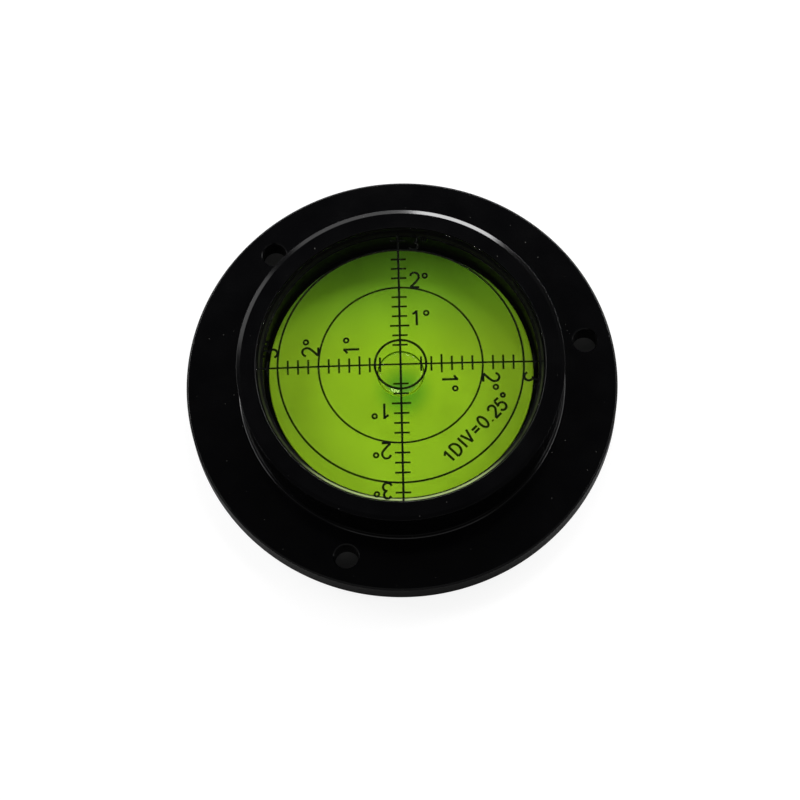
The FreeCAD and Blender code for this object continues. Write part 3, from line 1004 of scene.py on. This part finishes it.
def tumbled_steel():
    """Bright steel with a fine grain in its tone, its roughness and its relief."""
    material, tree, output = finish("tumbled_stainless_steel")
    place = add(tree, "ShaderNodeTexCoord").outputs["Object"]
    grain = add(tree, "ShaderNodeTexNoise",
                {"Vector": place, "Scale": 1.0 / STEEL_GRAIN, "Detail": 4.0}).outputs["Fac"]
    tone = add(tree, "ShaderNodeMix", {"Factor": grain, "A": linear(STEEL_TONES[0]),
                                       "B": linear(STEEL_TONES[1])}, data_type="RGBA")
    rough = add(tree, "ShaderNodeMapRange", {"Value": grain, "To Min": 0.24, "To Max": 0.42})
    bump = add(tree, "ShaderNodeBump", {"Height": grain, "Strength": 0.3, "Distance": 0.01 * MM})
    shader = add(tree, "ShaderNodeBsdfPrincipled",
                 {"Base Color": tone.outputs["Result"], "Roughness": rough.outputs["Result"],
                  "Normal": bump.outputs["Normal"], "Metallic": 1.0})
    tree.links.new(shader.outputs[0], output.inputs["Surface"])
    return material


screw.data.materials.append(tumbled_steel())
print("screw finish is ready")

# %% [markdown]
# ## Floor
# The photograph shows the level on pure white. The floor is a grey sheet whose own light shows
# only to the camera, so it is white there but doesn't light the object, and it keeps the shadow.
# Under the level the glow is almost off, so the holes stay dark.

# %% Floor
FLOOR_HALF = 1.5
FLOOR_GLOW = 0.87
GLOW_EDGE = FLANGE_R - 1.0 * MM
GLOW_IN_HOLES = 0.004

FLOOR_TONE = "#7c7c7c"

floor_corners = np.array([[-1.0, -1.0, 0.0], [1.0, -1.0, 0.0], [1.0, 1.0, 0.0], [-1.0, 1.0, 0.0]])
floor = make_object("floor", floor_corners * FLOOR_HALF, [[0, 1, 2, 3]])
floor_finish, tree, output = finish("pale_floor")
place = add(tree, "ShaderNodeTexCoord").outputs["Object"]
rays = add(tree, "ShaderNodeLightPath").outputs
beside = add(tree, "ShaderNodeMath", {0: distance_from_axis(tree, place), 1: GLOW_EDGE},
             operation="GREATER_THAN")
beside = add(tree, "ShaderNodeMath", {0: beside.outputs[0], 1: GLOW_IN_HOLES}, operation="MAXIMUM")
shown = add(tree, "ShaderNodeMath", {0: beside.outputs[0], 1: rays["Is Camera Ray"]},
            operation="MULTIPLY")
sheet = add(tree, "ShaderNodeBsdfDiffuse", {"Color": linear(FLOOR_TONE)})
glow = add(tree, "ShaderNodeEmission", {"Strength": FLOOR_GLOW})
seen = add(tree, "ShaderNodeAddShader", {0: sheet.outputs[0], 1: glow.outputs[0]})
mix = add(tree, "ShaderNodeMixShader", {0: shown.outputs[0], 1: sheet.outputs[0], 2: seen.outputs[0]})
tree.links.new(mix.outputs[0], output.inputs["Surface"])
floor.data.materials.append(floor_finish)
print("floor:", 2 * FLOOR_HALF, "m across")

# %% [markdown]
# ## The room
# The world is the room as the level's black faces mirror it: a low pale sky in the far half, a
# dim one in the near half, and darkness overhead. To the camera it is plain white.

# %% World
OVERHEAD = 0.02
SIDE_SKY = 0.1
FAR_SKY = 1.0

world = bpy.data.worlds.new("studio")
bpy.context.scene.world = world
world.use_nodes = True
tree = world.node_tree
tree.nodes.clear()
output = add(tree, "ShaderNodeOutputWorld")
rays = add(tree, "ShaderNodeLightPath").outputs
direction = add(tree, "ShaderNodeTexCoord").outputs["Generated"]
split = add(tree, "ShaderNodeSeparateXYZ", {0: direction})
low = add(tree, "ShaderNodeMapRange", {"Value": split.outputs["Z"], "From Min": 0.30,
                                       "From Max": 0.64, "To Min": 1.0, "To Max": 0.0},
          interpolation_type="SMOOTHSTEP")
far = add(tree, "ShaderNodeMapRange", {"Value": split.outputs["Y"], "From Min": -0.1,
                                       "From Max": 0.5, "To Min": SIDE_SKY, "To Max": FAR_SKY},
          interpolation_type="SMOOTHSTEP")
low_sky = add(tree, "ShaderNodeMath", {0: low.outputs[0], 1: far.outputs[0]}, operation="MULTIPLY")
sky = add(tree, "ShaderNodeMath", {0: low_sky.outputs[0], 1: OVERHEAD}, operation="ADD")
shown = add(tree, "ShaderNodeMix", {"Factor": rays["Is Camera Ray"], "A": sky.outputs[0], "B": 1.0},
            data_type="FLOAT")
studio = add(tree, "ShaderNodeBackground", {"Color": linear("#ffffff"),
                                            "Strength": shown.outputs["Result"]})
tree.links.new(studio.outputs[0], output.inputs["Surface"])
print("sky:", FAR_SKY, "far,", SIDE_SKY, "near,", OVERHEAD, "overhead")

# %% [markdown]
# ## Lamps
# Each lamp is a soft rectangle one metre away that looks at the level. The window and the far
# panels are placed where the rim's bevel mirrors them. The low panels light the disc past the far
# rim, and a weak one behind the camera lifts the disc's far part.

# %% Lamps
LAMP_DISTANCE = 1.0


def soft_lamp(name, azimuth, elevation, width, height, power):
    """A rectangular area lamp that looks at the level from an azimuth and elevation in degrees."""
    a, e = math.radians(azimuth), math.radians(elevation)
    away = np.array([math.cos(a) * math.cos(e), math.sin(a) * math.cos(e), math.sin(e)])
    side = np.array([-math.sin(a), math.cos(a), 0.0])
    data = bpy.data.lights.new(name, "AREA")
    data.shape = "RECTANGLE"
    data.size = width
    data.size_y = height
    data.energy = power
    lamp = bpy.data.objects.new(name, data)
    bpy.context.collection.objects.link(lamp)
    matrix = np.eye(4)
    matrix[:3, 0], matrix[:3, 1], matrix[:3, 2] = side, np.cross(away, side), away
    matrix[:3, 3] = away * LAMP_DISTANCE
    lamp.matrix_world = Matrix(matrix.tolist())


# Each row is a name, azimuth and elevation in degrees, width and height in metres, and watts.
LAMPS = (("window", 78.5, 43.0, 0.24, 0.18, 2.0),
         ("far_panel", 98.0, 36.0, 0.42, 0.56, 1.0),
         ("far_left_panel", 133.0, 38.0, 0.26, 0.50, 0.6),
         ("low_far_panel", 105.0, 24.0, 0.50, 0.20, 2.1),
         ("low_right_panel", 49.0, 27.5, 0.60, 0.22, 6.4),
         ("low_left_panel", 150.0, 30.0, 0.60, 0.22, 3.7),
         ("left_panel", 170.0, 40.0, 0.75, 0.18, 2.0),
         ("right_panel", 12.0, 40.0, 0.75, 0.18, 2.0),
         ("near_fill", 275.0, 50.0, 1.0, 0.5, 0.7))
for row in LAMPS:
    soft_lamp(*row)
print("lamps:", [row[0] for row in LAMPS])

# %% [markdown]
# ## Riding on the body
# Every piece rides on the level's only body and stands for the solid of its own name.

# %% Ride and replace
PIECES = ((housing, "housing", "black_anodised"), (disc, "floor_disc", "white_disc"),
          (seal, "cover_seal", "seal"), (glass, "cover_glass", "cover_glass"),
          (graticule, "graticule", "ink"), (numerals, "graticule", "ink"),
          (spirit, "spirit_fluid", "spirit"), (bubble, "spirit_fluid", "spirit"),
          (screw, "filler_screw", "screw_steel"))
for piece, node, slot in PIECES:
    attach(piece, "root")
    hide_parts(node)

scene = bpy.context.scene
scene.view_settings.view_transform = "Standard"
bpy.context.view_layer.update()
